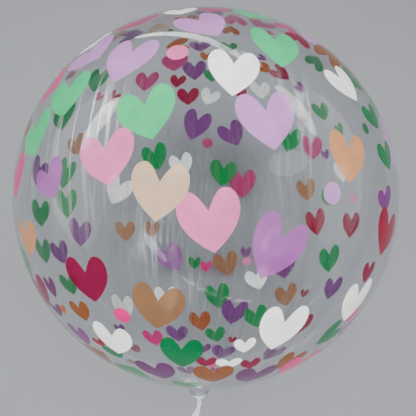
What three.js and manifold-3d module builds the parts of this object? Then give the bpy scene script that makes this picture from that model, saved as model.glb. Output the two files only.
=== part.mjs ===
// A clear bubble balloon, lying on its side with its neck level.
// One envelope of stretched film: a near round bubble, a slack puff where the neck begins, the neck twisted
// and knotted in itself, and the spare neck left as a flat, pleated tail.
// Millimetres. +Z is up, the neck points along -Y, and the origin is the middle of the flat spot it lies on.
import * as THREE from "three";
import { mergeVertices } from "three/addons/utils/BufferGeometryUtils.js";
import Module from "manifold-3d";

// The bubble
const bubbleRadius = 250; // half its width across the neck's axis
const bubbleHalfLength = 247; // from its middle to the crown, along the neck's axis
const restSpotRadius = 34; // the flat spot that the film settles into where it lies
const roundFacets = 64; // facets round the neck's axis
const outlineSteps = 19; // steps along each quarter of an outline curve

// The puff, a pocket of film that the pressure hardly stretches
const puffRadius = 15;
const puffLength = 17.5; // how far its gathered end stands out from the bubble
const shoulderRun = 7; // how far the bubble's wall turns into the puff's
const puffSteps = 6;

// The neck, twisted into a rope and knotted once
const neckRadius = 2; // of the twisted rope
const neckLength = 9; // from the puff's gathered end to where the tail opens
const knotRadius = 4; // at the knot's middle
const knotLength = 7;
const knotPlace = 0.45; // where the knot's middle lies, as a share of the neck
const ropeStrands = 2;
const strandDepth = 0.3; // how deep the twist's grooves are, as a share of its radius
const ropeTurns = 0.6; // turns over the neck's length
const ropeFacets = 24;
const ropeSteps = 20;
const ropeRootDepth = 4; // how far the rope reaches into the puff and into the tail

// The tail, the flat end of the neck's tube
const tailLength = 76;
const tailWidth = 26; // at its cut end
const tailThickness = 1.6; // at its cut end, of two walls of film lying slack
const tailDrift = 23; // how far its end strays to -X
const tailDroop = 15; // how far its end sinks under its own weight
const tailTwistDeg = 28; // how far its end has turned out of level
const pleatDepth = 2.4; // half the height of its pleats, at its cut end
const pleats = 2.5;
const tailSteps = 22;
const tailFacets = 15; // facets across each of its two faces

const bubbleHeight = Math.sqrt(bubbleRadius ** 2 - restSpotRadius ** 2); // of its middle above the floor
const puffEnd = -(bubbleHalfLength + puffLength); // along Y, where the rope begins
const tailStart = puffEnd - neckLength;

const wasm = await Module();
wasm.setup();

// A closed geometry as a solid that can be joined and cut.
function solidOf(geometry) {
  const bare = geometry.clone();
  bare.deleteAttribute("normal");
  bare.deleteAttribute("uv");
  const merged = mergeVertices(bare, 1e-3);
  return new wasm.Manifold(
    new wasm.Mesh({
      numProp: 3,
      vertProperties: merged.attributes.position.array,
      triVerts: new Uint32Array(merged.index.array),
    }),
  );
}

function geometryOf(solid) {
  const mesh = solid.getMesh();
  const points = new Float32Array(mesh.numVert * 3);
  for (let i = 0; i < mesh.numVert; i++) {
    points.set(mesh.vertProperties.subarray(i * mesh.numProp, i * mesh.numProp + 3), i * 3);
  }
  return new THREE.BufferGeometry()
    .setAttribute("position", new THREE.BufferAttribute(points, 3))
    .setIndex(new THREE.BufferAttribute(mesh.triVerts, 1));
}

// Rings of equally many points, skinned in order and closed by a fan at each end.
function loft(rings) {
  const count = rings[0].length;
  const middle = (ring) => ring.reduce((sum, p) => sum.add(p), new THREE.Vector3()).divideScalar(count);
  const points = [...rings.flat(), middle(rings[0]), middle(rings.at(-1))];
  const [firstHub, lastHub] = [points.length - 2, points.length - 1];
  const lastRing = (rings.length - 1) * count;
  const faces = [];
  for (let i = 0; i < count; i++) {
    const next = (i + 1) % count;
    for (let row = 0; row < lastRing; row += count) {
      faces.push(row + i, row + next, row + count + next);
      faces.push(row + i, row + count + next, row + count + i);
    }
    faces.push(firstHub, next, i);
    faces.push(lastHub, lastRing + i, lastRing + next);
  }
  const geometry = new THREE.BufferGeometry().setFromPoints(points);
  geometry.setIndex(faces);
  return geometry;
}

// The bubble and its puff, turned round the neck's axis.
function bubble() {
  const shoulderY = -bubbleHalfLength * Math.sqrt(1 - ((puffRadius + shoulderRun) / bubbleRadius) ** 2);
  const puffWidestY = -(bubbleHalfLength + shoulderRun / 4);
  const puffDepth = puffWidestY - puffEnd;
  const shoulderAngle = Math.acos((puffRadius + shoulderRun) / bubbleRadius);
  const puff = new THREE.CubicBezierCurve(
    new THREE.Vector2(0, puffEnd),
    new THREE.Vector2(puffRadius / 3, puffEnd + puffDepth / 6),
    new THREE.Vector2(puffRadius, puffWidestY - puffDepth / 2),
    new THREE.Vector2(puffRadius, puffWidestY),
  ).getPoints(puffSteps);
  const shoulder = new THREE.QuadraticBezierCurve(
    new THREE.Vector2(puffRadius, puffWidestY),
    new THREE.Vector2(puffRadius, shoulderY - shoulderRun / 8),
    new THREE.Vector2(puffRadius + shoulderRun, shoulderY),
  ).getPoints(puffSteps);
  const round = new THREE.EllipseCurve(0, 0, bubbleRadius, bubbleHalfLength, -shoulderAngle, Math.PI / 2);
  const profile = [...puff, ...shoulder.slice(1), ...round.getPoints(2 * outlineSteps).slice(1)];
  profile[0].x = 0;
  profile.at(-1).x = 0;
  return new THREE.LatheGeometry(profile, roundFacets);
}

// How thick the rope is at a share of the neck's length: it swells at the knot.
function ropeRadiusAt(share) {
  const fromKnot = Math.abs(share - knotPlace) * neckLength;
  const swell = Math.cos(Math.min(1, fromKnot / (knotLength / 2)) * (Math.PI / 2)) ** 2;
  return neckRadius + (knotRadius - neckRadius) * swell;
}

// The twisted neck with its knot: round strands that wind about the axis.
function rope() {
  const from = puffEnd + ropeRootDepth;
  const length = neckLength + 2 * ropeRootDepth;
  const rings = [];
  for (let step = 0; step <= ropeSteps; step++) {
    const y = from - (length * step) / ropeSteps;
    const share = (puffEnd - y) / neckLength;
    const turned = share * ropeTurns * 2 * Math.PI;
    const ring = [];
    for (let i = 0; i < ropeFacets; i++) {
      const angle = (2 * Math.PI * i) / ropeFacets;
      const groove = 1 - (strandDepth * (1 - Math.cos(ropeStrands * (angle - turned)))) / 2;
      const radius = ropeRadiusAt(share) * groove;
      ring.push(new THREE.Vector3(radius * Math.cos(angle), y, radius * Math.sin(angle)));
    }
    rings.push(ring);
  }
  return loft(rings);
}

// The tail: it opens from the rope into a flat strip, and its pleats deepen towards the cut end.
function tail() {
  const run = new THREE.CubicBezierCurve3(
    new THREE.Vector3(0, tailStart, 0),
    new THREE.Vector3(-tailDrift * 0.4, tailStart - tailLength / 3, 0),
    new THREE.Vector3(-tailDrift * 0.8, tailStart - (2 * tailLength) / 3, -tailDroop / 3),
    new THREE.Vector3(-tailDrift, tailStart - tailLength, -tailDroop),
  );
  const rings = [];
  for (let step = 0; step <= tailSteps; step++) {
    const share = step / tailSteps;
    const opened = Math.sin((share * Math.PI) / 2);
    const width = THREE.MathUtils.lerp(2 * neckRadius, tailWidth, opened);
    const thickness = THREE.MathUtils.lerp(2 * neckRadius, tailThickness, Math.sqrt(opened));
    const along = run.getTangent(share);
    const across = new THREE.Vector3(1, 0, 0).cross(along).cross(along).negate().normalize();
    across.applyAxisAngle(along, THREE.MathUtils.degToRad(tailTwistDeg * share));
    const outward = across.clone().cross(along).normalize();
    // A point of the strip's section: side is 1 on its upper face and -1 on its lower one.
    const sectionPoint = (spot, side) => {
      const edge = Math.sqrt(1 - (2 * spot - 1) ** 8);
      const pleat = pleatDepth * share * Math.cos(2 * Math.PI * pleats * spot);
      const lift = pleat + (side * edge * thickness) / 2;
      return run.getPoint(share).addScaledVector(across, (spot - 0.5) * width).addScaledVector(outward, lift);
    };
    const ring = [];
    for (let i = 0; i <= tailFacets; i++) ring.push(sectionPoint(i / tailFacets, 1));
    for (let i = tailFacets - 1; i > 0; i--) ring.push(sectionPoint(i / tailFacets, -1));
    rings.push(ring);
  }
  return loft(rings);
}

// The space under the floor, which takes the flat spot off the bubble.
function belowFloor() {
  const side = 2 * bubbleRadius;
  return new THREE.BoxGeometry(side, side, side).translate(0, 0, -bubbleHeight - side / 2);
}

const film = new THREE.MeshStandardMaterial({
  color: 0xe9edef,
  roughness: 0.05,
  metalness: 0,
  transparent: true,
  opacity: 0.3,
});

const whole = solidOf(bubble()).add(solidOf(rope())).add(solidOf(tail())).subtract(solidOf(belowFloor()));
const balloon = new THREE.Mesh(geometryOf(whole), film);
balloon.name = "balloon";
balloon.position.z = bubbleHeight;

const part = new THREE.Group();
part.add(balloon);

export default part;
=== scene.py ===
import math
import bpy
import numpy as np
from mathutils import Matrix, Vector, geometry, noise


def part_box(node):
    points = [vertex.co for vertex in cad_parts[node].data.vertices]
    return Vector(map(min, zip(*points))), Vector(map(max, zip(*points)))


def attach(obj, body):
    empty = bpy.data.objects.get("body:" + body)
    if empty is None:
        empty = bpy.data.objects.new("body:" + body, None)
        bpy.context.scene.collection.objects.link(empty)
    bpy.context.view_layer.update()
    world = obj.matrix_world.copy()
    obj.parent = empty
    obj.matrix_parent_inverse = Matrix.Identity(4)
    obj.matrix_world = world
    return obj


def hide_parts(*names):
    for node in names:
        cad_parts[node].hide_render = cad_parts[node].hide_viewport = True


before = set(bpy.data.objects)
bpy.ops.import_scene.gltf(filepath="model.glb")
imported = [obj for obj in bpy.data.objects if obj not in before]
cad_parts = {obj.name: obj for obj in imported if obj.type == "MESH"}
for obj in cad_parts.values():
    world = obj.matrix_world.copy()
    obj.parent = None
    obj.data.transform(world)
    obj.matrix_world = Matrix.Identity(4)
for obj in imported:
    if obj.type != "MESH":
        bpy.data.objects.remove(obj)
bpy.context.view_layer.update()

# Sizes that the frame gives, in metres
low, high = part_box("balloon")
bubbleRadius = (high.x - low.x) / 2
bubbleHalfLength = high.y
bubbleMiddle = Vector((0, 0, high.z - bubbleRadius))
print("frame loaded")


# General helpers

def deselectAll():
    if bpy.context.object and bpy.context.object.mode != "OBJECT":
        bpy.ops.object.mode_set(mode="OBJECT")
    bpy.ops.object.select_all(action="DESELECT")


def selectOnly(objects):
    deselectAll()
    for each in objects:
        each.select_set(True)
    bpy.context.view_layer.objects.active = objects[0]


def editAll(piece):
    selectOnly([piece])
    bpy.ops.object.mode_set(mode="EDIT")
    bpy.ops.mesh.select_all(action="SELECT")


def pointOutwards(piece, inside):
    editAll(piece)
    bpy.ops.mesh.normals_make_consistent(inside=inside)
    bpy.ops.object.mode_set(mode="OBJECT")


def joinInto(objects, name):
    selectOnly(objects)
    if len(objects) > 1:
        bpy.ops.object.join()
    joined = bpy.context.object
    joined.name = name
    joined.data.name = name
    return joined


def applyPlace(piece):
    selectOnly([piece])
    bpy.ops.object.transform_apply(location=True, rotation=True, scale=True)


def readPoints(mesh):
    points = np.empty(len(mesh.vertices) * 3)
    mesh.vertices.foreach_get("co", points)
    return points.reshape(-1, 3)


def writePoints(mesh, points):
    mesh.vertices.foreach_set("co", np.asarray(points).ravel())
    mesh.update()


def screenColour(red, green, blue):
    # An 8-bit screen colour as the linear colour that a shader takes
    linear = []
    for value in (red, green, blue):
        share = value / 255
        linear.append(share / 12.92 if share <= 0.04045 else ((share + 0.055) / 1.055) ** 2.4)
    return (*linear, 1)


# The camera, at the photograph's viewing angle

view = dict(
    elevation=math.radians(77.5),
    roll=math.radians(1.9),
    distance=0.6,  # from the bubble's middle
    focalPixels=422.5,
    pictureSize=416,
    middlePixel=(206, 198),  # where the bubble's middle falls
    sensorWidth=36,
    clipStart=0.01,
)


def makeCamera():
    backward = Vector((0, -math.cos(view["elevation"]), math.sin(view["elevation"])))
    plainRight = Vector((1, 0, 0))
    plainUp = backward.cross(plainRight)
    right = plainRight * math.cos(view["roll"]) + plainUp * math.sin(view["roll"])
    up = backward.cross(right)
    bpy.ops.object.camera_add()
    camera = bpy.context.object
    camera.name = "camera"
    turned = Matrix((right, up, backward)).transposed().to_4x4()
    camera.matrix_world = Matrix.Translation(bubbleMiddle + backward * view["distance"]) @ turned
    size = view["pictureSize"]
    camera.data.sensor_width = view["sensorWidth"]
    camera.data.lens = view["focalPixels"] / size * view["sensorWidth"]
    camera.data.shift_x = (size / 2 - view["middlePixel"][0]) / size
    camera.data.shift_y = (view["middlePixel"][1] - size / 2) / size
    camera.data.clip_start = view["clipStart"]
    bpy.context.scene.camera = camera
    return camera


camera = makeCamera()
print("camera set")


# Where a pixel of the photograph lies on the bubble

semiAxes = Vector((bubbleRadius, bubbleHalfLength, bubbleRadius))


def inUnits(vector):
    return Vector((vector.x / semiAxes.x, vector.y / semiAxes.y, vector.z / semiAxes.z))


def outwardAt(point):
    # The bubble's normal at a point given from the bubble's middle
    return inUnits(inUnits(point)).normalized()


def meetBubble(start, direction, wall):
    # Where a straight line meets the near ("front") or the far ("back") wall, from the bubble's middle
    begin = inUnits(start)
    step = inUnits(direction)
    squareTerm = step.dot(step)
    linearTerm = 2 * begin.dot(step)
    constantTerm = begin.dot(begin) - 1
    root = math.sqrt(max(0, linearTerm ** 2 - 4 * squareTerm * constantTerm))
    way = -1 if wall == "front" else 1
    return start + direction * (-linearTerm + way * root) / (2 * squareTerm)


def castPixel(pixel, wall):
    axes = camera.matrix_world.to_3x3()
    across = (pixel[0] - view["middlePixel"][0]) / view["focalPixels"]
    down = (pixel[1] - view["middlePixel"][1]) / view["focalPixels"]
    direction = axes @ Vector((across, -down, -1))
    return meetBubble(camera.matrix_world.translation - bubbleMiddle, direction, wall)


# The printed hearts and dots. Cleft and tip are pixels of the photograph, wide is in millimetres.

frontHearts = {
    "mintUpperLeft": dict(ink="mint", cleft=(145, 104.5), tip=(152, 139.5), wide=55),
    "pinkLeft": dict(ink="pink", cleft=(105.5, 149.5), tip=(110, 185.5), wide=56),
    "creamMiddle": dict(ink="cream", cleft=(159.5, 182), tip=(155.5, 221.5), wide=51),
    "pinkMiddle": dict(ink="pink", cleft=(208.5, 211), tip=(214.5, 253)),
    "lilacUpperRight": dict(ink="lilac", cleft=(266, 110.5), tip=(274.5, 150)),
    "whiteTop": dict(ink="white", cleft=(234, 64), tip=(232.5, 96), wide=48),
    "mintTopRight": dict(ink="mint", cleft=(275.5, 40.5), tip=(282, 67.5), wide=51),
    "whiteTopRight": dict(ink="white", cleft=(340, 78), tip=(357, 101), wide=50),
    "peachRight": dict(ink="peach", cleft=(348.5, 148.5), tip=(349, 182.5)),
    "purpleRight": dict(ink="purple", cleft=(281.3, 239), tip=(260.3, 278.5), wide=51),
    "mochaLowerLeft": dict(ink="mocha", cleft=(158, 301), tip=(156.5, 328.5)),
    "whiteLowerRight": dict(ink="white", cleft=(284.5, 322.5), tip=(271.5, 349.5), wide=50),
    "shadedCrimsonLowerLeft": dict(ink="shadedCrimson", cleft=(85.5, 272.6), tip=(95.6, 302), wide=50),
    "whiteLowerLeft": dict(ink="white", cleft=(112, 336), tip=(118.5, 353.5), wide=44),
    "shadedGreenBottom": dict(ink="shadedGreen", cleft=(181.5, 349.5), tip=(182.5, 367), wide=41),
    "shadedRustBottom": dict(ink="shadedRust", cleft=(213.5, 372.5), tip=(213, 382), wide=41),
    "whiteRight": dict(ink="white", cleft=(358, 295.5), tip=(344.5, 321)),
    "crimsonRight": dict(ink="crimson", cleft=(388.3, 225.5), tip=(380.2, 255.3), wide=56),
    "lilacTopLeft": dict(ink="lilac", cleft=(131.5, 52), tip=(114, 82.5), wide=54),
    "lilacLeftRim": dict(ink="lilac", cleft=(90.3, 51.3), tip=(99.8, 57.6), wide=61),
    "lilacTop": dict(ink="lilac", cleft=(199.5, 20.5), tip=(218.5, 36), wide=52),
    "mintLeft": dict(ink="mint", cleft=(68.6, 89), tip=(62.5, 117), wide=57),
    "mintLeftLow": dict(ink="mint", cleft=(35.8, 129), tip=(34.2, 156.8), wide=57),
    "magentaLeftRim": dict(ink="magenta", cleft=(16.5, 171.5), tip=(16.3, 197), wide=62),
    "purpleLeft": dict(ink="purple", cleft=(48.3, 175), tip=(55, 198), wide=44),
    "peachLeft": dict(ink="peach", cleft=(26, 232.5), tip=(31.2, 257), wide=50),
    "shadedRustUpperRight": dict(ink="shadedRust", cleft=(328.3, 55), tip=(331.3, 50.8), wide=36),
    "shadedGreenFarRight": dict(ink="shadedGreen", cleft=(370.3, 112.5), tip=(378.3, 129.5), wide=42),
    "shadedGreenRightRim": dict(ink="shadedGreen", cleft=(385, 151), tip=(389.5, 170), wide=44),
    "violetRight": dict(ink="violet", cleft=(385.2, 195.5), tip=(386.2, 211), wide=35),
    "shadedCrimsonLowRight": dict(ink="shadedCrimson", cleft=(369, 269), tip=(364, 283)),
    "shadedRustLeftLow": dict(ink="shadedRust", cleft=(79, 308), tip=(86.6, 321), wide=28),
    "whiteLowest": dict(ink="white", cleft=(245, 343.5), tip=(244, 352.5)),
    "whiteBottom": dict(ink="white", cleft=(229, 362), tip=(228, 368), wide=26),
    "shadedCrimsonBottom": dict(ink="shadedCrimson", cleft=(206, 360.5), tip=(204.5, 366.5), wide=21),
    "shadedCrimsonBottomRight": dict(ink="shadedCrimson", cleft=(250.5, 362.5), tip=(250, 368.5)),
}
backHearts = {
    "roseTop": dict(ink="rose", cleft=(174.7, 60), tip=(174, 71), wide=44),
    "roseUpperLeft": dict(ink="rose", cleft=(147, 78), tip=(144, 91)),
    "violetTop": dict(ink="violet", cleft=(194.3, 67), tip=(194.8, 80), wide=40),
    "crimsonUpper": dict(ink="crimson", cleft=(188, 93.5), tip=(188, 105), wide=40),
    "whiteUpper": dict(ink="white", cleft=(210.5, 94.5), tip=(205.5, 104.5)),
    "whiteUpperRight": dict(ink="white", cleft=(260, 87), tip=(262, 98.5)),
    "whiteCrown": dict(ink="white", cleft=(239.5, 52), tip=(238, 57.5)),
    "greenCrown": dict(ink="green", cleft=(228.5, 45.3), tip=(228.8, 51.8), wide=28),
    "violetCrown": dict(ink="violet", cleft=(200, 44), tip=(200.5, 51.3), wide=34),
    "magentaTop": dict(ink="magenta", cleft=(235.5, 20.5), tip=(232, 14), wide=33),
    "rustTop": dict(ink="rust", cleft=(231, 31), tip=(230.5, 25.5)),
    "creamTop": dict(ink="cream", cleft=(158.3, 29), tip=(155.3, 23.3), wide=32),
    "greenUpperRight": dict(ink="green", cleft=(314.5, 63), tip=(318.5, 57), wide=32),
    "greenRight": dict(ink="green", cleft=(320.5, 108.5), tip=(325, 120.5), wide=36),
    "greenInner": dict(ink="green", cleft=(290, 135), tip=(287, 152), wide=46),
    "roseInner": dict(ink="rose", cleft=(312, 144), tip=(312.5, 160)),
    "coffeeInner": dict(ink="coffee", cleft=(306, 186.5), tip=(308.5, 201)),
    "crimsonInner": dict(ink="crimson", cleft=(351.5, 221), tip=(349.5, 238)),
    "crimsonInnerLeft": dict(ink="crimson", cleft=(315.5, 218.5), tip=(317.5, 235.5), wide=42),
    "greenLowerRight": dict(ink="green", cleft=(329.5, 255.2), tip=(328.8, 272.3), wide=44),
    "violetLowRight": dict(ink="violet", cleft=(333.5, 285), tip=(328, 299.5)),
    "coffeeLowRight": dict(ink="coffee", cleft=(286, 292.3), tip=(286.5, 306.3), wide=42),
    "whiteLow": dict(ink="white", cleft=(256.5, 276), tip=(260, 289.5)),
    "greenLow": dict(ink="green", cleft=(255.5, 314), tip=(258.5, 327.5), wide=42),
    "crimsonLow": dict(ink="crimson", cleft=(302, 322), tip=(294, 336), wide=40),
    "violetLow": dict(ink="violet", cleft=(223.5, 350.3), tip=(219, 358.5), wide=38),
    "greenMiddleLow": dict(ink="green", cleft=(215.3, 332.6), tip=(217.8, 342), wide=34),
    "violetMiddleLow": dict(ink="violet", cleft=(234.8, 308.8), tip=(230.8, 324.5), wide=48),
    "rustLow": dict(ink="rust", cleft=(199.7, 318.3), tip=(202.5, 331), wide=38),
    "violetLowLeft": dict(ink="violet", cleft=(177, 331.3), tip=(178.5, 341.5), wide=38),
    "magentaLowLeft": dict(ink="magenta", cleft=(152.6, 335.8), tip=(157.3, 345.8), wide=34),
    "greenMiddle": dict(ink="green", cleft=(217, 292.5), tip=(220.5, 308.5), wide=45),
    "coffeeMiddle": dict(ink="coffee", cleft=(225.3, 260.5), tip=(228.6, 276), wide=48),
    "purpleMiddle": dict(ink="purple", cleft=(168.5, 254), tip=(178.8, 270.5), wide=50),
    "whiteBehindCoffee": dict(ink="white", cleft=(166, 295), tip=(169, 311), wide=44),
    "violetBehind": dict(ink="violet", cleft=(283, 262), tip=(285, 278.5)),
    "whiteBehindPeach": dict(ink="white", cleft=(341.5, 168), tip=(344, 182)),
    "whiteLeftLow": dict(ink="white", cleft=(122.3, 303.5), tip=(126.3, 319.7), wide=40),
    "greenBehindMint": dict(ink="green", cleft=(63.5, 112), tip=(61.3, 130), wide=50),
    "greenUpperLeft": dict(ink="green", cleft=(99.5, 75.5), tip=(93.5, 92), wide=42),
    "coffeeLeft": dict(ink="coffee", cleft=(75.5, 142), tip=(78, 155), wide=37),
    "greenBehindPurple": dict(ink="green", cleft=(66.7, 169), tip=(61.8, 189), wide=40),
    "violetLeft": dict(ink="violet", cleft=(39.5, 167.5), tip=(34.8, 185), wide=50),
    "greenLeft": dict(ink="green", cleft=(66, 199), tip=(68, 218), wide=50),
    "greenFarLeft": dict(ink="green", cleft=(39.8, 209), tip=(41.2, 227), wide=54),
    "violetInnerLeft": dict(ink="violet", cleft=(79.7, 228.5), tip=(80.2, 246.5), wide=50),
    "greenLeftLow": dict(ink="green", cleft=(41.8, 247.3), tip=(46.6, 263.5), wide=46),
    "violetLeftLow": dict(ink="violet", cleft=(58.5, 249), tip=(64, 264), wide=44),
    "greenBehindCrimson": dict(ink="green", cleft=(67.8, 281.5), tip=(74, 295), wide=42),
    "coffeeInnerLeft": dict(ink="coffee", cleft=(125, 228), tip=(126.5, 241), wide=42),
    "violetInner": dict(ink="violet", cleft=(230.3, 130.3), tip=(238, 145.5), wide=50),
    "violetUpper": dict(ink="violet", cleft=(197.5, 120.5), tip=(190.5, 140), wide=52),
    "greenInnerLeft": dict(ink="green", cleft=(154, 153), tip=(159, 170), wide=50),
    "greenInnerTop": dict(ink="green", cleft=(223.5, 169), tip=(221.2, 186), wide=54),
    "whiteInnerTop": dict(ink="white", cleft=(180.5, 161.5), tip=(184, 177), wide=46),
    "roseInnerMiddle": dict(ink="rose", cleft=(242.3, 179), tip=(242, 198), wide=54),
    "whiteInnerLeft": dict(ink="white", cleft=(119.5, 186), tip=(112, 204)),
    "crimsonTop": dict(ink="crimson", cleft=(178, 79), tip=(176, 87.5), wide=28),
}
# Hearts near the rim or half hidden: the middle's pixel, the size in millimetres, and how far the tip
# is turned from pointing straight at the neck, in degrees, if it is. No wall named is the far wall.
placedHearts = {
    "magentaLeftSliver": dict(wall="front", ink="magenta", at=(53.2, 84.8), size=36, wide=50, turn=59),
    "whiteLeftSliver": dict(wall="front", ink="white", at=(94.9, 43), size=22, wide=46, turn=44),
    "roseLeftSliver": dict(wall="front", ink="rose", at=(137.5, 22.4), size=28, wide=52, turn=29),
    "whiteTopSliver": dict(wall="front", ink="white", at=(180.3, 11), size=32, wide=38, turn=13),
    "mintTopSliver": dict(wall="front", ink="mint", at=(252, 14.4), size=36, wide=46, turn=-16),
    "roseTopSliver": dict(wall="front", ink="rose", at=(215, 9.4), size=22, wide=42),
    "violetTopSliver": dict(ink="violet", at=(209, 12.8), size=40, turn=180),
    "rustTopLeft": dict(ink="rust", at=(189, 18.8), size=40, wide=32, turn=180),
    "violetTopLeft": dict(ink="violet", at=(131.5, 34.6), size=36, turn=170),
    "magentaTopRight": dict(ink="magenta", at=(261, 22.8), size=38, turn=160),
    "roseTopRight": dict(wall="front", ink="rose", at=(286.6, 27.2), size=28, wide=28, turn=150),
    "shadedCrimsonTopRight": dict(wall="front", ink="shadedCrimson", at=(297.5, 38), size=32, wide=30, turn=160),
    "lilacRightSliver": dict(wall="front", ink="lilac", at=(311.3, 39.1), size=40, wide=40, turn=-40),
    "crimsonRightSliver": dict(wall="front", ink="crimson", at=(350.2, 71), size=24, wide=34, turn=-56),
    "shadedGreenRightSliver": dict(wall="front", ink="shadedGreen", at=(353, 79.2), size=38, wide=36, turn=-40),
    "greenRimSliver": dict(wall="front", ink="green", at=(373.2, 104.2), size=24, wide=30, turn=-64),
    "lilacRightRim": dict(wall="front", ink="lilac", at=(388.7, 142), size=40, wide=60, turn=-70),
    "greenLeftSliver": dict(wall="front", ink="green", at=(27, 263.4), size=24, wide=38, turn=89),
    "shadedCrimsonLeftRim": dict(wall="front", ink="shadedCrimson", at=(41, 291), size=40, wide=52),
    "violetLowRim": dict(wall="front", ink="violet", at=(80.7, 335.6), size=33, turn=-15),
    "shadedRustLowRim": dict(wall="front", ink="shadedRust", at=(98.3, 353.7), size=40, wide=40, turn=106),
    "greenLowRim": dict(wall="front", ink="green", at=(132.6, 370.9), size=36, wide=42, turn=131),
    "plumBottomLeft": dict(wall="front", ink="plum", at=(157.5, 371.5), size=43),
    "plumBottomRight": dict(wall="front", ink="plum", at=(254, 375.8), size=46, turn=10),
    "magentaLowRim": dict(wall="front", ink="magenta", at=(296, 365.2), size=54, turn=20),
    "greenBottomRim": dict(wall="front", ink="green", at=(187, 385), size=32, wide=30),
    "shadedGreenLowRight": dict(wall="front", ink="shadedGreen", at=(329.4, 334.8), size=36, turn=-35),
    "shadedRustLowRight": dict(wall="front", ink="shadedRust", at=(289.3, 361.2), size=36),
    "rustCrown": dict(ink="rust", at=(265, 68), size=24),
    "crimsonCrown": dict(ink="crimson", at=(281, 73), size=34),
    "violetUpperRight": dict(ink="violet", at=(300.5, 88), size=22),
    "violetCrownRight": dict(ink="violet", at=(262, 57.5), size=16),
    "rustCrownLeft": dict(ink="rust", at=(205.5, 56), size=20),
    "greenCrownLeft": dict(ink="green", at=(212, 75.5), size=28),
    "crimsonBehindWhite": dict(ink="crimson", at=(241, 93), size=24),
    "greenSmallRight": dict(ink="green", at=(340, 129), size=20),
    "violetInnerRight": dict(ink="violet", at=(326, 154.5), size=18),
    "violetBesideDot": dict(ink="violet", at=(246, 252.5), size=22),
    "greenMiddleLeft": dict(ink="green", at=(194.5, 263), size=24),
    "magentaMiddle": dict(ink="magenta", at=(206, 266.5), size=22),
    "crimsonSmallLow": dict(ink="crimson", at=(304.3, 293.5), size=16),
    "crimsonTinyLow": dict(ink="crimson", at=(232, 340), size=15),
    "violetLowBehind": dict(ink="violet", at=(272.3, 353.7), size=36),
    "crimsonTinyLeft": dict(ink="crimson", at=(135, 349), size=20),
    "violetTinyLeft": dict(ink="violet", at=(120, 329), size=20),
    "shadedGreenBehindWhite": dict(wall="front", ink="shadedGreen", at=(114.6, 352.2), size=22, wide=28, turn=10),
    "crimsonBehindLow": dict(wall="front", ink="crimson", at=(99.6, 342.6), size=14, wide=18),
    "plumLeftRimLow": dict(wall="front", ink="plum", at=(51, 287.5), size=24, wide=22),
    "plumLeftRimLower": dict(wall="front", ink="plum", at=(57.4, 310.4), size=17, wide=26),
    "rustTinyRim": dict(wall="front", ink="rust", at=(62.6, 309.3), size=13, wide=16),
    "crimsonTinyLowRim": dict(ink="crimson", at=(132, 362.4), size=15),
    "crimsonBesideRust": dict(ink="crimson", at=(214.5, 370), size=14),
    "purpleRightLow": dict(wall="front", ink="purple", at=(347, 326.6), size=34, turn=-60),
    "violetBesideGreen": dict(ink="violet", at=(203.5, 348.5), size=24),
    "rustBehindDot": dict(ink="rust", at=(177.2, 45), size=36),
    "rustLeftSliver": dict(ink="rust", at=(119.5, 33.4), size=26, turn=160),
    "magentaTinyTop": dict(ink="magenta", at=(269.5, 32.5), size=12, turn=160),
    "roseUpperTiny": dict(ink="rose", at=(98.5, 97), size=16),
    "greenCrownSmall": dict(ink="green", at=(169, 31), size=16, turn=180),
    "greenLeftRim": dict(ink="green", at=(23, 146), size=30),
    "crimsonLeftRim": dict(wall="front", ink="crimson", at=(27.8, 127.6), size=22, wide=26, turn=69),
    "crimsonLeftCrown": dict(ink="crimson", at=(70, 74), size=22),
    "crimsonUpperLeft": dict(ink="crimson", at=(113, 97), size=24),
    "coffeeBehindCream": dict(ink="coffee", at=(152, 229), size=30),
    "magentaRightRim": dict(wall="front", ink="magenta", at=(350.8, 315.4), size=22),
    "violetBottomFaint": dict(ink="violet", at=(187, 371), size=26),
}
# The middle's pixel and the width in millimetres
printedDots = {
    "pinkDotTop": dict(wall="front", ink="pink", at=(177.5, 52), size=21),
    "lilacDotRight": dict(wall="front", ink="lilac", at=(332.4, 193.2), size=20),
    "magentaDotLow": dict(wall="front", ink="magenta", at=(122, 315.3), size=17),
    "pinkDotRight": dict(ink="pink", at=(353.5, 198), size=16),
    "roseDotInner": dict(ink="rose", at=(207.5, 143), size=20),
    "greenDotRight": dict(ink="green", at=(366.2, 128.3), size=17),
    "crimsonDotRight": dict(ink="crimson", at=(302.2, 120.7), size=14),
    "pinkDotMiddle": dict(ink="pink", at=(247, 261), size=18),
    "magentaDotBottom": dict(wall="front", ink="magenta", at=(212.5, 365.5), size=7),
    "greenBehindDot": dict(ink="green", at=(329, 195.7), size=33),
}
print("print laid out")


# Cutting the print into the film

heart = dict(
    cleftHeight=0.67,  # of a heart that is one high, tip at the origin
    curveSteps=8,
    cutDepth=0.004,  # how far a cutter stands out of the film on each side
    reach=(1.2, 1.2, 0.02),  # from a mark's start: in its widths, in its heights and in metres outwards
    level=1e-12,  # an edge of the outline that rises less is level
)


def heartOutline():
    half = [
        ((0, 0), (0.20, 0.14), (0.50, 0.40), (0.50, 0.70)),
        ((0.50, 0.70), (0.50, 0.88), (0.41, 1.0), (0.29, 1.0)),
        ((0.29, 1.0), (0.17, 1.0), (0.08, 0.82), (0, heart["cleftHeight"])),
    ]
    rightSide = []
    for corners in half:
        knots = [Vector((*corner, 0)) for corner in corners]
        rightSide += geometry.interpolate_bezier(*knots, heart["curveSteps"] + 1)[:-1]
    cleft = [Vector((0, heart["cleftHeight"], 0))]
    leftSide = [Vector((-point.x, point.y, 0)) for point in reversed(rightSide[1:])]
    return rightSide + cleft + leftSide


def circleOutline():
    count = 4 * heart["curveSteps"]
    turns = [2 * math.pi * index / count for index in range(count)]
    return [Vector((math.cos(turn) / 2, math.sin(turn) / 2, 0)) for turn in turns]


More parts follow.
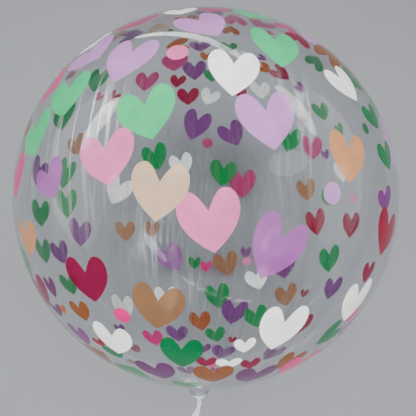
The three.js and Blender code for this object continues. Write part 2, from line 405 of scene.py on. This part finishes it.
def placeFromCleft(mark, wall):
    cleft = castPixel(mark["cleft"], wall)
    tip = castPixel(mark["tip"], wall)
    height = (cleft - tip).length / heart["cleftHeight"]
    middle = (cleft + tip) / 2
    outward = outwardAt(middle)
    upward = (cleft - tip).normalized()
    upward = (upward - outward * upward.dot(outward)).normalized()
    start = middle - upward * height * heart["cleftHeight"] / 2
    wide = mark["wide"] / 1000 if "wide" in mark else height
    return placeMatrix(start, upward, outward, wide, height)


def placeFromMiddle(mark, startShare):
    middle = castPixel(mark["at"], mark.get("wall", "back"))
    outward = outwardAt(middle)
    toNeck = Vector((0, -1, 0))
    toNeck = (toNeck - outward * toNeck.dot(outward)).normalized()
    sideways = outward.cross(toNeck)
    turn = math.radians(mark.get("turn", 0))
    upward = -(toNeck * math.cos(turn) + sideways * math.sin(turn))
    height = mark["size"] / 1000
    wide = mark.get("wide", mark["size"]) / 1000
    start = middle - upward * height * startShare
    return placeMatrix(start, upward, outward, wide, height)


def placeMatrix(start, upward, outward, wide, height):
    # The middle of the outline is brought on to the bubble
    lifted = meetBubble(start + upward * height / 2, outward, "back") - upward * height / 2
    across = upward.cross(outward)
    turned = Matrix((across * wide, upward * height, outward)).transposed().to_4x4()
    return Matrix.Translation(bubbleMiddle + lifted) @ turned


def layOutPrint():
    marks = []
    for mark in frontHearts.values():
        marks.append((mark["ink"], "heart", placeFromCleft(mark, "front")))
    for mark in backHearts.values():
        marks.append((mark["ink"], "heart", placeFromCleft(mark, "back")))
    for mark in placedHearts.values():
        marks.append((mark["ink"], "heart", placeFromMiddle(mark, 0.5)))
    for mark in printedDots.values():
        marks.append((mark["ink"], "dot", placeFromMiddle(mark, 0)))
    return marks


def makeCutter(outline, name):
    # A filled circle, its rim moved on to the outline, then pulled out to a block
    deselectAll()
    bpy.ops.mesh.primitive_circle_add(vertices=len(outline), radius=1, fill_type="NGON")
    cutter = bpy.context.object
    cutter.name = name
    depth = Vector((0, 0, heart["cutDepth"]))
    writePoints(cutter.data, [tuple(point - depth) for point in outline])
    editAll(cutter)
    bpy.ops.mesh.extrude_region_move(TRANSFORM_OT_translate={"value": tuple(depth * 2)})
    pointOutwards(cutter, False)
    return cutter


def copyCutters(marks):
    models = {
        "heart": makeCutter(heartOutline(), "heartCutter"),
        "dot": makeCutter(circleOutline(), "dotCutter"),
    }
    copies = []
    for ink, form, place in marks:
        copied = models[form].copy()
        copied.data = models[form].data.copy()
        copied.data.transform(place)
        bpy.context.collection.objects.link(copied)
        copies.append(copied)
    for model in models.values():
        bpy.data.objects.remove(model)
    return joinInto(copies, "cutters")


def insideOutline(points, outline):
    # Which of the points lie inside a flat outline, by counting the edges that a line to the right meets
    inside = np.zeros(len(points), dtype=bool)
    for index, corner in enumerate(outline):
        before = outline[index - 1]
        crosses = (corner.y > points[:, 1]) != (before.y > points[:, 1])
        rise = before.y - corner.y
        if abs(rise) < heart["level"]:
            continue
        meeting = corner.x + (before.x - corner.x) * (points[:, 1] - corner.y) / rise
        inside ^= crosses & (points[:, 0] < meeting)
    return inside


def inkAt(points, marks):
    # The name of the ink at each point of the bubble's wall, or an empty name
    found = np.array([""] * len(points), dtype=object)
    outlines = {"heart": heartOutline(), "dot": circleOutline()}
    for ink, form, place in reversed(marks):
        back = np.array(place.inverted())
        local = points @ back[:3, :3].T + back[:3, 3]
        near = np.flatnonzero((np.abs(local) < heart["reach"]).all(axis=1))
        hit = near[insideOutline(local[near], outlines[form])]
        found[hit] = ink
    return found


# The film envelope: one wall of the bubble with its neck

envelope = dict(
    segments=160,  # round the neck's axis
    rings=96,
    openRings=3,  # rings at the neck's pole that make room for the neck
    filmThickness=0.0006,
    mergeReach=0.00004,
    lyingHeight=0.000606,  # points lower than this lie flat on the floor
    seamShare=0.25,  # of wallSide, below which a point has the neck's own normal
)
neck = dict(
    puffRadius=0.015,
    puffLength=0.0175,
    shoulderRun=0.007,
    shoulderRows=7,
    puffRows=14,
    puffPleats=((9, 1.5), (14, 2.5), (23, 3.5)),  # how many go round, and what their depth is divided by
    pleatDepth=0.16,
    pleatPhase=2.1,
    pleatWander=0.6,
    gatheredRows=5,  # of the puff, that look like the rope
    ropeRadius=0.002,
    ropeLength=0.009,
    ropeRows=22,
    knotRadius=0.004,
    knotLength=0.007,
    knotPlace=0.45,
    strandDepth=0.3,
    ropeTurns=0.6,
    ropeFolds=((0.07, 11, -2.5), (0.04, 19, 1)),  # depth, how many go round, how they turn with the rope
)
tail = dict(
    length=0.076,
    width=0.026,
    thickness=0.0016,
    drift=0.023,
    droop=0.015,
    twist=math.radians(28),
    pleatDepth=0.0024,
    pleats=2.5,
    rows=60,
    crumples=((0.0011, 9, 7, 3), (0.00066, 26, 13, 8)),  # depth, and the noise across, along and its start
    edgeRoundness=0.35,
)


def ringRadius():
    return bubbleRadius * math.sin(math.pi * envelope["openRings"] / envelope["rings"])


def smoothCurve(corners, share):
    # A point of a Bezier curve with three or four corners
    points = [Vector(corner) for corner in corners]
    while len(points) > 1:
        points = [first.lerp(second, share) for first, second in zip(points, points[1:])]
    return points[0]


def neckProfile(inset):
    # Radius and place along Y of each row, from the bubble's open ring to the gathered end of the puff
    reach = neck["puffRadius"] + neck["shoulderRun"]
    openY = -bubbleHalfLength * math.cos(math.pi * envelope["openRings"] / envelope["rings"])
    shoulderY = -bubbleHalfLength * math.sqrt(1 - (reach / bubbleRadius) ** 2)
    widestY = -(bubbleHalfLength + neck["shoulderRun"] / 4)
    endY = -(bubbleHalfLength + neck["puffLength"])
    depth = widestY - endY
    rows = [(ringRadius() - inset, openY + inset)]
    shoulder = [
        (reach, shoulderY),
        (neck["puffRadius"], shoulderY - neck["shoulderRun"] / 8),
        (neck["puffRadius"], widestY),
    ]
    puff = [
        (neck["puffRadius"], widestY),
        (neck["puffRadius"], widestY - depth / 2),
        (neck["puffRadius"] / 3, endY + depth / 6),
        (neck["ropeRadius"], endY),
    ]
    for row in range(neck["shoulderRows"]):
        point = smoothCurve(shoulder, row / neck["shoulderRows"])
        rows.append((point.x - inset, point.y + inset / 2))
    for row in range(neck["puffRows"] + 1):
        point = smoothCurve(puff, row / neck["puffRows"])
        rows.append((point.x - inset, point.y + inset))
    return rows


def pleatedRadius(radius, share, angle):
    # The puff's wall gathers into pleats that deepen towards its end
    wave = 0
    for number, (count, divisor) in enumerate(neck["puffPleats"]):
        wander = neck["pleatPhase"] * number + neck["pleatWander"] * math.sin(3 * angle + number)
        wave += math.cos(count * angle + wander) / divisor
    return radius * (1 + neck["pleatDepth"] * share ** 1.5 * wave)


def ropePoint(share, angle):
    # The twisted neck, two strands that wind about each other and swell at the knot
    fromKnot = abs(share - neck["knotPlace"]) * neck["ropeLength"]
    swell = math.cos(min(1, fromKnot / (neck["knotLength"] / 2)) * math.pi / 2) ** 2
    radius = neck["ropeRadius"] + (neck["knotRadius"] - neck["ropeRadius"]) * swell
    turned = share * neck["ropeTurns"] * 2 * math.pi
    groove = 1 - neck["strandDepth"] * (1 - math.cos(2 * (angle - turned))) / 2
    folds = 0
    for depth, count, turning in neck["ropeFolds"]:
        folds += depth * math.cos(count * angle + turning * turned)
    radius *= groove * (1 + folds)
    y = -(bubbleHalfLength + neck["puffLength"]) - share * neck["ropeLength"]
    return Vector((radius * math.cos(angle), y, radius * math.sin(angle)))


def tailPoint(share, angle):
    startY = -(bubbleHalfLength + neck["puffLength"] + neck["ropeLength"])
    run = [
        (0, startY, 0),
        (-tail["drift"] * 0.4, startY - tail["length"] / 3, 0),
        (-tail["drift"] * 0.8, startY - tail["length"] * 2 / 3, -tail["droop"] / 3),
        (-tail["drift"], startY - tail["length"], -tail["droop"]),
    ]
    middle = smoothCurve(run, share)
    before = smoothCurve(run, max(0, share - 0.01))
    after = smoothCurve(run, min(1, share + 0.01))
    along = (after - before).normalized()
    sideways = Vector((1, 0, 0))
    sideways = (sideways - along * sideways.dot(along)).normalized()
    sideways.rotate(Matrix.Rotation(tail["twist"] * share, 3, along))
    outward = along.cross(sideways).normalized()
    if outward.z < 0:
        outward.negate()
    opened = math.sin(share * math.pi / 2)
    width = 2 * neck["ropeRadius"] + (tail["width"] - 2 * neck["ropeRadius"]) * opened
    thickness = 2 * neck["ropeRadius"] + (tail["thickness"] - 2 * neck["ropeRadius"]) * math.sqrt(opened)
    across = math.cos(angle) / 2
    side = math.sin(angle)
    edge = math.copysign(abs(side) ** tail["edgeRoundness"], side)
    pleat = tail["pleatDepth"] * share * math.cos(2 * math.pi * tail["pleats"] * (across + 0.5))
    lift = pleat + edge * thickness / 2
    for depth, acrossScale, alongScale, begin in tail["crumples"]:
        lift += depth * opened * noise.noise(Vector((across * acrossScale, share * alongScale, begin)))
    return middle + sideways * across * width + outward * lift


def neckPoint(row, angle, profile):
    if row < len(profile):
        radius, y = profile[row]
        share = max(0, row - neck["shoulderRows"]) / neck["puffRows"]
        radius = pleatedRadius(radius, share, angle)
        return Vector((radius * math.cos(angle), y, radius * math.sin(angle)))
    row -= len(profile)
    if row < neck["ropeRows"]:
        return ropePoint((row + 1) / neck["ropeRows"], angle)
    row -= neck["ropeRows"]
    return tailPoint((row + 1) / tail["rows"], angle)


def makeNeck(profile, rows, name):
    # A straight tube, extruded row by row, then each row is brought to its shape
    deselectAll()
    bpy.ops.mesh.primitive_circle_add(
        vertices=envelope["segments"], radius=1, rotation=(math.pi / 2, 0, 0)
    )
    tube = bpy.context.object
    tube.name = name
    applyPlace(tube)
    bpy.ops.object.mode_set(mode="EDIT")
    bpy.ops.mesh.select_all(action="SELECT")
    for row in range(1, rows):
        bpy.ops.mesh.extrude_region_move(TRANSFORM_OT_translate={"value": (0, -1, 0)})
    bpy.ops.mesh.edge_face_add()
    bpy.ops.object.mode_set(mode="OBJECT")
    shaped = []
    for point in readPoints(tube.data):
        row = round(-point[1])
        angle = math.atan2(point[2], point[0])
        shaped.append(tuple(bubbleMiddle + neckPoint(row, angle, profile)))
    writePoints(tube.data, shaped)
    return tube


def makeBubble(inset, name):
    # A sphere with its poles on the neck's axis, opened where the neck begins
    deselectAll()
    bpy.ops.mesh.primitive_uv_sphere_add(
        segments=envelope["segments"],
        ring_count=envelope["rings"],
        radius=1,
        rotation=(math.pi / 2, 0, 0),
    )
    bubble = bpy.context.object
    bubble.name = name
    applyPlace(bubble)
    bubble.scale = (bubbleRadius - inset, bubbleHalfLength - inset, bubbleRadius - inset)
    bubble.location = bubbleMiddle
    applyPlace(bubble)
    openY = -bubbleHalfLength * math.cos(math.pi * (envelope["openRings"] - 0.5) / envelope["rings"])
    bpy.ops.object.mode_set(mode="EDIT")
    bpy.ops.mesh.select_all(action="DESELECT")
    bpy.ops.object.mode_set(mode="OBJECT")
    for vertex in bubble.data.vertices:
        vertex.select = vertex.co.y < openY
    bpy.ops.object.mode_set(mode="EDIT")
    bpy.ops.mesh.delete(type="VERT")
    bpy.ops.object.mode_set(mode="OBJECT")
    return bubble


def mergeSeam(piece):
    editAll(piece)
    bpy.ops.mesh.remove_doubles(threshold=envelope["mergeReach"])
    bpy.ops.object.mode_set(mode="OBJECT")


def cutPrint(bubble, marks):
    cutters = copyCutters(marks)
    for mesh, slot in ((bubble.data, 0), (cutters.data, 1)):
        mesh.materials.clear()
        mesh.materials.append(bpy.data.materials.new("cutGuide%d" % slot))
    joined = joinInto([bubble, cutters], "bubbleOuter")
    bpy.ops.object.mode_set(mode="EDIT")
    bpy.ops.mesh.select_all(action="DESELECT")
    joined.active_material_index = 1
    bpy.ops.object.material_slot_select()
    bpy.ops.mesh.intersect(mode="SELECT_UNSELECT", separate_mode="NONE", solver="EXACT")
    bpy.ops.mesh.select_all(action="DESELECT")
    joined.active_material_index = 1
    bpy.ops.object.material_slot_select()
    bpy.ops.mesh.delete(type="FACE")
    bpy.ops.mesh.select_all(action="SELECT")
    bpy.ops.mesh.delete_loose()
    bpy.ops.mesh.select_all(action="SELECT")
    bpy.ops.mesh.quads_convert_to_tris()
    bpy.ops.object.mode_set(mode="OBJECT")
    return joined


def faceMiddles(mesh):
    middles = np.empty(len(mesh.polygons) * 3)
    mesh.polygons.foreach_get("center", middles)
    return middles.reshape(-1, 3)


def ontoBubble(piece):
    # Every point of the wall goes back on to the true round
    middle = np.array(bubbleMiddle)
    axes = np.array(semiAxes)
    units = (readPoints(piece.data) - middle) / axes
    units /= np.linalg.norm(units, axis=1, keepdims=True)
    writePoints(piece.data, units * axes + middle)


# Shader node groups

def newGroup(name, inputs, outputs):
    group = bpy.data.node_groups.new(name, "ShaderNodeTree")
    for label in outputs:
        group.interface.new_socket(name=label, in_out="OUTPUT", socket_type="NodeSocketFloat")
    for label, value in inputs.items():
        socket = group.interface.new_socket(name=label, in_out="INPUT", socket_type="NodeSocketFloat")
        socket.default_value = value
    given = group.nodes.new("NodeGroupInput").outputs
    result = group.nodes.new("NodeGroupOutput").inputs
    return group, group.nodes, group.links, given, result


def feed(links, source, socket):
    # A plain value is set on the socket, another node's output is linked to it
    if isinstance(source, bpy.types.NodeSocket):
        links.new(source, socket)
    else:
        socket.default_value = source


def addMath(nodes, links, kind, operation, *sources):
    node = nodes.new(kind)
    node.operation = operation
    for source, socket in zip(sources, node.inputs):
        feed(links, source, socket)
    return node.outputs[0]


def addNoise(nodes, links, place, scale, detail):
    node = nodes.new("ShaderNodeTexNoise")
    feed(links, place, node.inputs["Vector"])
    feed(links, scale, node.inputs["Scale"])
    feed(links, detail, node.inputs["Detail"])
    return node.outputs["Fac"]


def mapRange(nodes, links, source, toLow, toHigh, fromLow=0.35, fromHigh=0.65):
    # From the range that most of a noise lies in, unless another is given
    node = nodes.new("ShaderNodeMapRange")
    feed(links, source, node.inputs["Value"])
    feed(links, fromLow, node.inputs["From Min"])
    feed(links, fromHigh, node.inputs["From Max"])
    feed(links, toLow, node.inputs["To Min"])
    feed(links, toHigh, node.inputs["To Max"])
    return node.outputs["Result"]


film = dict(
    shader={
        "Base Color": (0.94, 0.955, 0.965, 1),
        "IOR": 1.3,
        "Transmission Weight": 1,
        "Coat Roughness": 0.3,
        "Coat IOR": 2.6,
    },
    letThrough=(0.97, 0.975, 0.98, 1),  # what of the light gets through one side of the wall
    bump=(0.1, 0.004),  # strength and distance
    marks={"Lines": 14, "Clean": 0.006, "Smudged": 0.045},
)
stretch = dict(
    lengthways=(0, 0.35, 0),  # how much the lines change from the neck to the crown
    lineDetail=4,
    lineWidth=0.045,
    folds=(14, 1),  # the scale and the detail of the noise
    ripples=(7, 2),
    smudges=(11, 5),
    foldShare=0.25,
    patches=(0.1, 1, 0.4, 0.6),  # how strong the lines are where the ripples are low and high
)


def makeStretchMarks():
    # Faint lines that run from the neck to the crown, where the film was drawn out
    group, nodes, links, given, result = newGroup(
        "stretchMarks", film["marks"], ("Height", "Roughness", "Creases")
    )
    mapping = nodes.new("ShaderNodeMapping")
    mapping.inputs["Location"].default_value = (0, 0, -bubbleMiddle.z)
    links.new(nodes.new("ShaderNodeTexCoord").outputs["Object"], mapping.inputs["Vector"])
    centred = mapping.outputs["Vector"]
    flat = addMath(nodes, links, "ShaderNodeVectorMath", "MULTIPLY", centred, (1, 0, 1))
    around = addMath(nodes, links, "ShaderNodeVectorMath", "NORMALIZE", flat)
    drawn = addMath(
        nodes, links, "ShaderNodeVectorMath", "MULTIPLY_ADD", centred, stretch["lengthways"], around
    )
    lines = addNoise(nodes, links, drawn, given["Lines"], stretch["lineDetail"])
    folds = addNoise(nodes, links, drawn, *stretch["folds"])
    ripples = addNoise(nodes, links, centred, *stretch["ripples"])
    smudges = addNoise(nodes, links, centred, *stretch["smudges"])
    height = addMath(nodes, links, "ShaderNodeMath", "MULTIPLY_ADD", folds, stretch["foldShare"], ripples)
    links.new(height, result["Height"])
    rough = mapRange(nodes, links, smudges, given["Clean"], given["Smudged"])
    links.new(rough, result["Roughness"])
    fromMiddle = addMath(nodes, links, "ShaderNodeMath", "SUBTRACT", lines, 0.5)
    distance = addMath(nodes, links, "ShaderNodeMath", "ABSOLUTE", fromMiddle)
    thin = mapRange(nodes, links, distance, 1, 0, 0, stretch["lineWidth"])
    patches = mapRange(nodes, links, ripples, *stretch["patches"])
    creases = addMath(nodes, links, "ShaderNodeMath", "MULTIPLY", thin, patches)
    links.new(creases, result["Creases"])
    return group


inkFinish = dict(
    shader={"Transmission Weight": 0.42, "IOR": 1.3, "Specular IOR Level": 0.25},
    whiteShader={"Transmission Weight": 0.1},  # the white ink covers better
    layer={"Grain": 900, "Smooth": 0.05, "Rough": 0.14},
    thickShade=0.93,
    bump=(0.12, 0.0002),
)
unevenness = dict(
    patches=(55, 4),  # the scale and the detail of the noise
    grainDetail=2,
    grainShare=0.35,
    thick=(0.5, 0.85),  # from where to where the ink counts as thicker
)


def makeInkLayer():
    # The print's ink: a little uneven in depth, with a fine grain from the roller
    group, nodes, links, given, result = newGroup(
        "inkLayer", inkFinish["layer"], ("Depth", "Roughness", "Height")
    )
    place = nodes.new("ShaderNodeTexCoord").outputs["Object"]
    patches = addNoise(nodes, links, place, *unevenness["patches"])
    grain = addNoise(nodes, links, place, given["Grain"], unevenness["grainDetail"])
    both = addMath(
        nodes, links, "ShaderNodeMath", "MULTIPLY_ADD", grain, unevenness["grainShare"], patches
    )
    links.new(mapRange(nodes, links, both, 0, 1, *unevenness["thick"]), result["Depth"])
    rough = mapRange(nodes, links, patches, given["Smooth"], given["Rough"])
    links.new(rough, result["Roughness"])
    links.new(grain, result["Height"])
    return group


stretchMarks = makeStretchMarks()
inkLayer = makeInkLayer()


# Materials

def setInputs(node, values):
    for label, value in values.items():
        node.inputs[label].default_value = value


def newMaterial(name, values):
    # What is the same all over is set on the shader's own sockets
    material = bpy.data.materials.new(name)
    material.use_nodes = True
    nodes = material.node_tree.nodes
    shader = nodes["Principled BSDF"]
    setInputs(shader, values)
    return material, nodes, material.node_tree.links, shader


def placeGroup(nodes, group, values):
    node = nodes.new("ShaderNodeGroup")
    node.node_tree = group
    setInputs(node, values)
    return node.outputs


def addBump(nodes, links, height, strength, distance, shader):
    bump = nodes.new("ShaderNodeBump")
    setInputs(bump, {"Strength": strength, "Distance": distance})
    links.new(height, bump.inputs["Height"])
    links.new(bump.outputs["Normal"], shader.inputs["Normal"])


def addShade(nodes, links, depth, light, dark, shader):
    shade = nodes.new("ShaderNodeMix")
    shade.data_type = "RGBA"
    shade.inputs[6].default_value = light
    shade.inputs[7].default_value = dark
    links.new(depth, shade.inputs["Factor"])
    links.new(shade.outputs[2], shader.inputs["Base Color"])


def makeClearFilm():
    material, nodes, links, shader = newMaterial("clearFilm", film["shader"])
    marks = placeGroup(nodes, stretchMarks, film["marks"])
    links.new(marks["Roughness"], shader.inputs["Roughness"])
    links.new(marks["Creases"], shader.inputs["Coat Weight"])
    addBump(nodes, links, marks["Height"], *film["bump"], shader)
    # Light gets through the thin wall to what lies behind it
    path = nodes.new("ShaderNodeLightPath")
    through = nodes.new("ShaderNodeBsdfTransparent")
    through.inputs["Color"].default_value = film["letThrough"]
    mixed = nodes.new("ShaderNodeMixShader")
    links.new(path.outputs["Is Shadow Ray"], mixed.inputs["Fac"])
    links.new(shader.outputs["BSDF"], mixed.inputs[1])
    links.new(through.outputs["BSDF"], mixed.inputs[2])
    links.new(mixed.outputs["Shader"], nodes["Material Output"].inputs["Surface"])
    return material


gathered = dict(
    shader={"Transmission Weight": 0.35, "IOR": 1.3, "Specular IOR Level": 0.6},
    marks={"Lines": 60, "Clean": 0.16, "Smudged": 0.34},
    layer={"Grain": 420, "Smooth": 0.2, "Rough": 0.4},
    light=(0.93, 0.94, 0.95, 1),
    dark=(0.72, 0.74, 0.76, 1),
    bump=(0.5, 0.0006),
)


def makeGatheredFilm():
    material, nodes, links, shader = newMaterial("gatheredFilm", gathered["shader"])
    marks = placeGroup(nodes, stretchMarks, gathered["marks"])
    links.new(marks["Roughness"], shader.inputs["Roughness"])
    layer = placeGroup(nodes, inkLayer, gathered["layer"])
    addShade(nodes, links, layer["Depth"], gathered["light"], gathered["dark"], shader)
    addBump(nodes, links, layer["Height"], *gathered["bump"], shader)
    return material


inkColours = {
    "mint": (62, 216, 136),
    "green": (12, 142, 66),
    "lilac": (216, 150, 222),
    "purple": (174, 100, 178),
    "violet": (120, 50, 126),
    "pink": (255, 132, 190),
    "magenta": (242, 26, 130),
    "rose": (190, 44, 110),
    "white": (253, 252, 250),
    "cream": (232, 196, 164),
    "coffee": (164, 110, 74),
    "peach": (222, 150, 98),
    "rust": (180, 84, 28),
    "crimson": (154, 8, 46),
    # The next three inks are copies of crimson, green and rust painted darker. This is painted shade for
    # hearts on the near wall, which the lamps light more strongly than the far wall's hearts.
    "shadedCrimson": (133, 14, 56),
    "shadedGreen": (10, 118, 62),
    "shadedRust": (140, 72, 26),
    "plum": (98, 38, 94),
    "mocha": (143, 102, 69),
}


def makeInk(name):
    material, nodes, links, shader = newMaterial(name + "Ink", inkFinish["shader"])
    if name == "white":
        setInputs(shader, inkFinish["whiteShader"])
    layer = placeGroup(nodes, inkLayer, inkFinish["layer"])
    links.new(layer["Roughness"], shader.inputs["Roughness"])
    colour = inkColours[name]
    thick = [value * inkFinish["thickShade"] for value in colour]
    addShade(nodes, links, layer["Depth"], screenColour(*colour), screenColour(*thick), shader)
    addBump(nodes, links, layer["Height"], *inkFinish["bump"], shader)
    return material


clearFilm = makeClearFilm()
gatheredFilm = makeGatheredFilm()
inks = {name: makeInk(name) for name in inkColours}
print("materials made")


# Building the balloon

def markWall(piece, side):
    # Tells the bubble's two walls and the neck apart once they are one mesh
    attribute = piece.data.attributes.new("wallSide", "FLOAT", "POINT")
    attribute.data.foreach_set("value", [float(side)] * len(piece.data.vertices))


def settle(piece, floorHeight):
    # The film lies flat on the floor
    points = readPoints(piece.data)
    points[:, 2] = np.maximum(points[:, 2], floorHeight)
    writePoints(piece.data, points)


def paintPrint(bubble, marks):
    names = list(inks)
    bubble.data.materials.clear()
    bubble.data.materials.append(clearFilm)
    for name in names:
        bubble.data.materials.append(inks[name])
    found = inkAt(faceMiddles(bubble.data), marks)
    slots = [names.index(name) + 1 if name else 0 for name in found]
    bubble.data.polygons.foreach_set("material_index", slots)


def paintNeck(tube, clearRows):
    tube.data.materials.clear()
    tube.data.materials.append(clearFilm)
    tube.data.materials.append(gatheredFilm)
    profile = neckProfile(0)
    edge = bubbleMiddle.y + profile[clearRows][1]
    for face in tube.data.polygons:
        face.material_index = 0 if face.center.y > edge else 1


def makeOuterWall(marks):
    bubble = makeBubble(0, "bubbleOuter")
    pointOutwards(bubble, False)
    bubble = cutPrint(bubble, marks)
    ontoBubble(bubble)
    paintPrint(bubble, marks)
    settle(bubble, 0)
    markWall(bubble, 1)
    profile = neckProfile(0)
    rows = len(profile) + neck["ropeRows"] + tail["rows"]
    tube = makeNeck(profile, rows, "neckOuter")
    paintNeck(tube, neck["shoulderRows"] + neck["puffRows"] - neck["gatheredRows"])
    markWall(tube, 0)
    wall = joinInto([bubble, tube], "outerWall")
    mergeSeam(wall)
    pointOutwards(wall, False)
    return wall


def makeInnerWall():
    inset = envelope["filmThickness"]
    bubble = makeBubble(inset, "bubbleInner")
    settle(bubble, inset)
    markWall(bubble, -1)
    profile = neckProfile(inset)
    tube = makeNeck(profile, len(profile), "neckInner")
    markWall(tube, 0)
    wall = joinInto([bubble, tube], "innerWall")
    wall.data.materials.clear()
    wall.data.materials.append(clearFilm)
    mergeSeam(wall)
    pointOutwards(wall, True)
    return wall


def smoothNormals(piece):
    # The bubble shines as a true round, however the print has cut its faces
    mesh = piece.data
    for face in mesh.polygons:
        face.use_smooth = True
    side = np.empty(len(mesh.vertices))
    mesh.attributes["wallSide"].data.foreach_get("value", side)
    points = readPoints(mesh) - np.array(bubbleMiddle)
    outward = points / np.array(semiAxes) ** 2
    outward /= np.linalg.norm(outward, axis=1, keepdims=True)
    lying = readPoints(mesh)[:, 2] < envelope["lyingHeight"]
    outward[lying] = (0, 0, -1)
    # A nought leaves the neck its own normals
    facing = np.where(np.abs(side) > envelope["seamShare"], np.sign(side), 0)
    normals = outward * facing[:, None]
    mesh.attributes.remove(mesh.attributes["wallSide"])
    mesh.normals_split_custom_set_from_vertices([tuple(normal) for normal in normals])


def makeBalloon():
    marks = layOutPrint()
    outer = makeOuterWall(marks)
    print("outer wall printed", len(outer.data.polygons))
    inner = makeInnerWall()
    balloon = joinInto([outer, inner], "filmBalloon")
    smoothNormals(balloon)
    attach(balloon, "root")
    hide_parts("balloon")
    return balloon


balloon = makeBalloon()
print("balloon built")


# The floor, the light and the backdrop

stage = dict(
    floorSize=8,
    floorDrop=0.0005,
    floorColour=(144, 146, 150),
    fibreShade=0.98,
    fibres=(40, 4),
    floorRoughness=0.85,
    skyStrength=0.15,
)


def makeFloor():
    deselectAll()
    bpy.ops.mesh.primitive_plane_add(size=stage["floorSize"], location=(0, 0, -stage["floorDrop"]))
    floor = bpy.context.object
    floor.name = "floor"
    material, nodes, links, shader = newMaterial("floorPaper", {"Roughness": stage["floorRoughness"]})
    place = nodes.new("ShaderNodeTexCoord").outputs["Object"]
    fibres = addNoise(nodes, links, place, *stage["fibres"])
    colour = stage["floorColour"]
    darker = [value * stage["fibreShade"] for value in colour]
    addShade(nodes, links, fibres, screenColour(*colour), screenColour(*darker), shader)
    floor.data.materials.append(material)


def makeSky():
    world = bpy.data.worlds.new("softRoom")
    world.use_nodes = True
    backdrop = world.node_tree.nodes["Background"]
    backdrop.inputs["Color"].default_value = (1, 1, 1, 1)
    backdrop.inputs["Strength"].default_value = stage["skyStrength"]
    bpy.context.scene.world = world


lamps = {
    # The film mirrors each of them at the pixel given
    "leftStreak": dict(seenAt=(98, 122), distance=0.9, wide=0.15, high=0.5, turn=-24, power=2.4),
    "leftPanel": dict(seenAt=(80, 165), distance=1.0, wide=0.8, high=1.6, turn=-10, power=3.2),
    "rightPatch": dict(seenAt=(288, 163), distance=0.9, wide=0.4, high=0.22, turn=16, power=0.6),
    "rightStreak": dict(seenAt=(298, 108), distance=0.9, wide=0.13, high=0.5, turn=24, power=1.5),
    "rightPanel": dict(seenAt=(335, 165), distance=1.0, wide=0.8, high=1.6, turn=10, power=2.8),
    "topStrip": dict(seenAt=(200, 38), distance=0.9, wide=1.0, high=0.07, turn=0, power=1.1),
}
softboxes = {
    # They light the print without a patch on the film
    "overhead": dict(place=(0, 0.1, 1.3), wide=1.4, high=1.4, turn=0, power=22),
    "frontFill": dict(place=(0, -1.3, 0.9), wide=1.4, high=1.0, turn=0, power=20),
}


def makeLamp(name, place, aim, lamp):
    bpy.ops.object.light_add(type="AREA", location=place)
    light = bpy.context.object
    light.name = name
    light.data.shape = "ELLIPSE"
    light.data.size = lamp["wide"]
    light.data.size_y = lamp["high"]
    light.data.energy = lamp["power"]
    backward = (Vector(place) - aim).normalized()
    across = Vector((0, 1, 0)).cross(backward).normalized()
    upright = backward.cross(across)
    turned = Matrix((across, upright, backward)).transposed()
    light.rotation_euler = (turned @ Matrix.Rotation(math.radians(lamp["turn"]), 3, "Z")).to_euler()
    return light


def lightStage():
    deselectAll()
    for name, lamp in softboxes.items():
        softbox = makeLamp(name, lamp["place"], bubbleMiddle, lamp)
        softbox.visible_glossy = False
        softbox.visible_transmission = False
    eye = camera.matrix_world.translation
    for name, lamp in lamps.items():
        point = castPixel(lamp["seenAt"], "front")
        outward = outwardAt(point)
        point = point + bubbleMiddle
        toEye = (eye - point).normalized()
        mirrored = 2 * outward.dot(toEye) * outward - toEye
        makeLamp(name, point + mirrored * lamp["distance"], point, lamp)


makeFloor()
makeSky()
lightStage()
print("stage lit")
